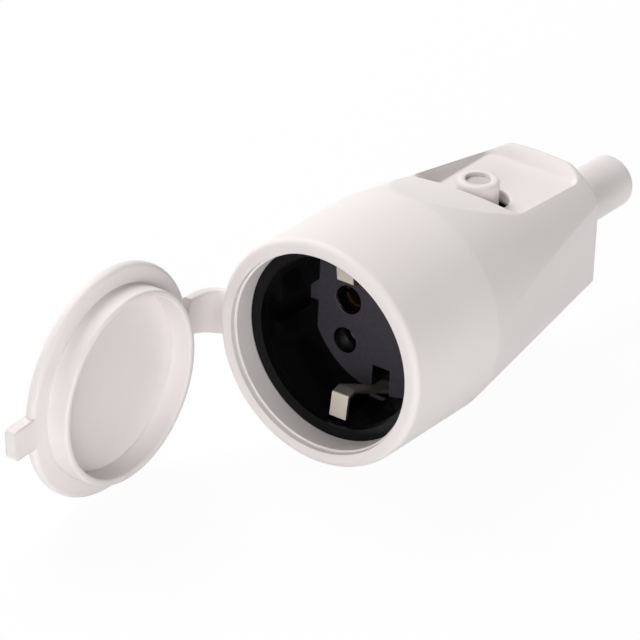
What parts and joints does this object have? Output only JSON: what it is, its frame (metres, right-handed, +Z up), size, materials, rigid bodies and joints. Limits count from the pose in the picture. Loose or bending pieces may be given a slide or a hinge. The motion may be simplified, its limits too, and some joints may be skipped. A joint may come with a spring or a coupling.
{
  "type": "inline socket connector",
  "caption": "Round inline socket connector with a rubber sleeve, a recessed plug socket with side earth clips, and a flap lid on a rubber strap.",
  "frame": {"origin": "centre of the plug recess opening, in the front rim of the insert", "axes": "+X out of the mouth, the way a plug is pulled; +Z up, towards the side with the eyelet; +Y to the side away from the lid"},
  "size_m": [0.1775, 0.0568, 0.0543],
  "materials": {
    "white_rubber": "matte",
    "black_plastic": "gloss",
    "grey_plastic": "satin",
    "brass": "satin",
    "nickel_plate": "satin",
    "steel": "satin"
  },
  "bodies": {
    "housing": {"outer_sleeve": "white_rubber", "hinge_strap": "white_rubber", "socket_face": "black_plastic", "contact_carrier": "black_plastic", "clamp_saddle": "black_plastic", "locking_peg": "grey_plastic", "live_contact": "brass", "neutral_contact": "brass", "earth_clip_lower": "nickel_plate", "earth_clip_upper": "nickel_plate", "earth_bridge": "nickel_plate", "live_terminal_screw": "steel", "neutral_terminal_screw": "steel", "earth_terminal_screw": "steel", "assembly_screw_1": "steel", "assembly_screw_2": "steel", "assembly_nut_1": "steel", "assembly_nut_2": "steel", "clamp_screw_1": "steel", "clamp_screw_2": "steel"},
    "lid": {"lid": "white_rubber"}
  },
  "joints": [
    {"name": "lid_hinge", "type": "hinge", "parent": "housing", "child": "lid", "pos_m": [0.0096, -0.03075, 0], "axis": [0.0369, -0.0369, 0.9986], "range_deg": [-75, 90], "deforming": ["hinge_strap"]}
  ]
}
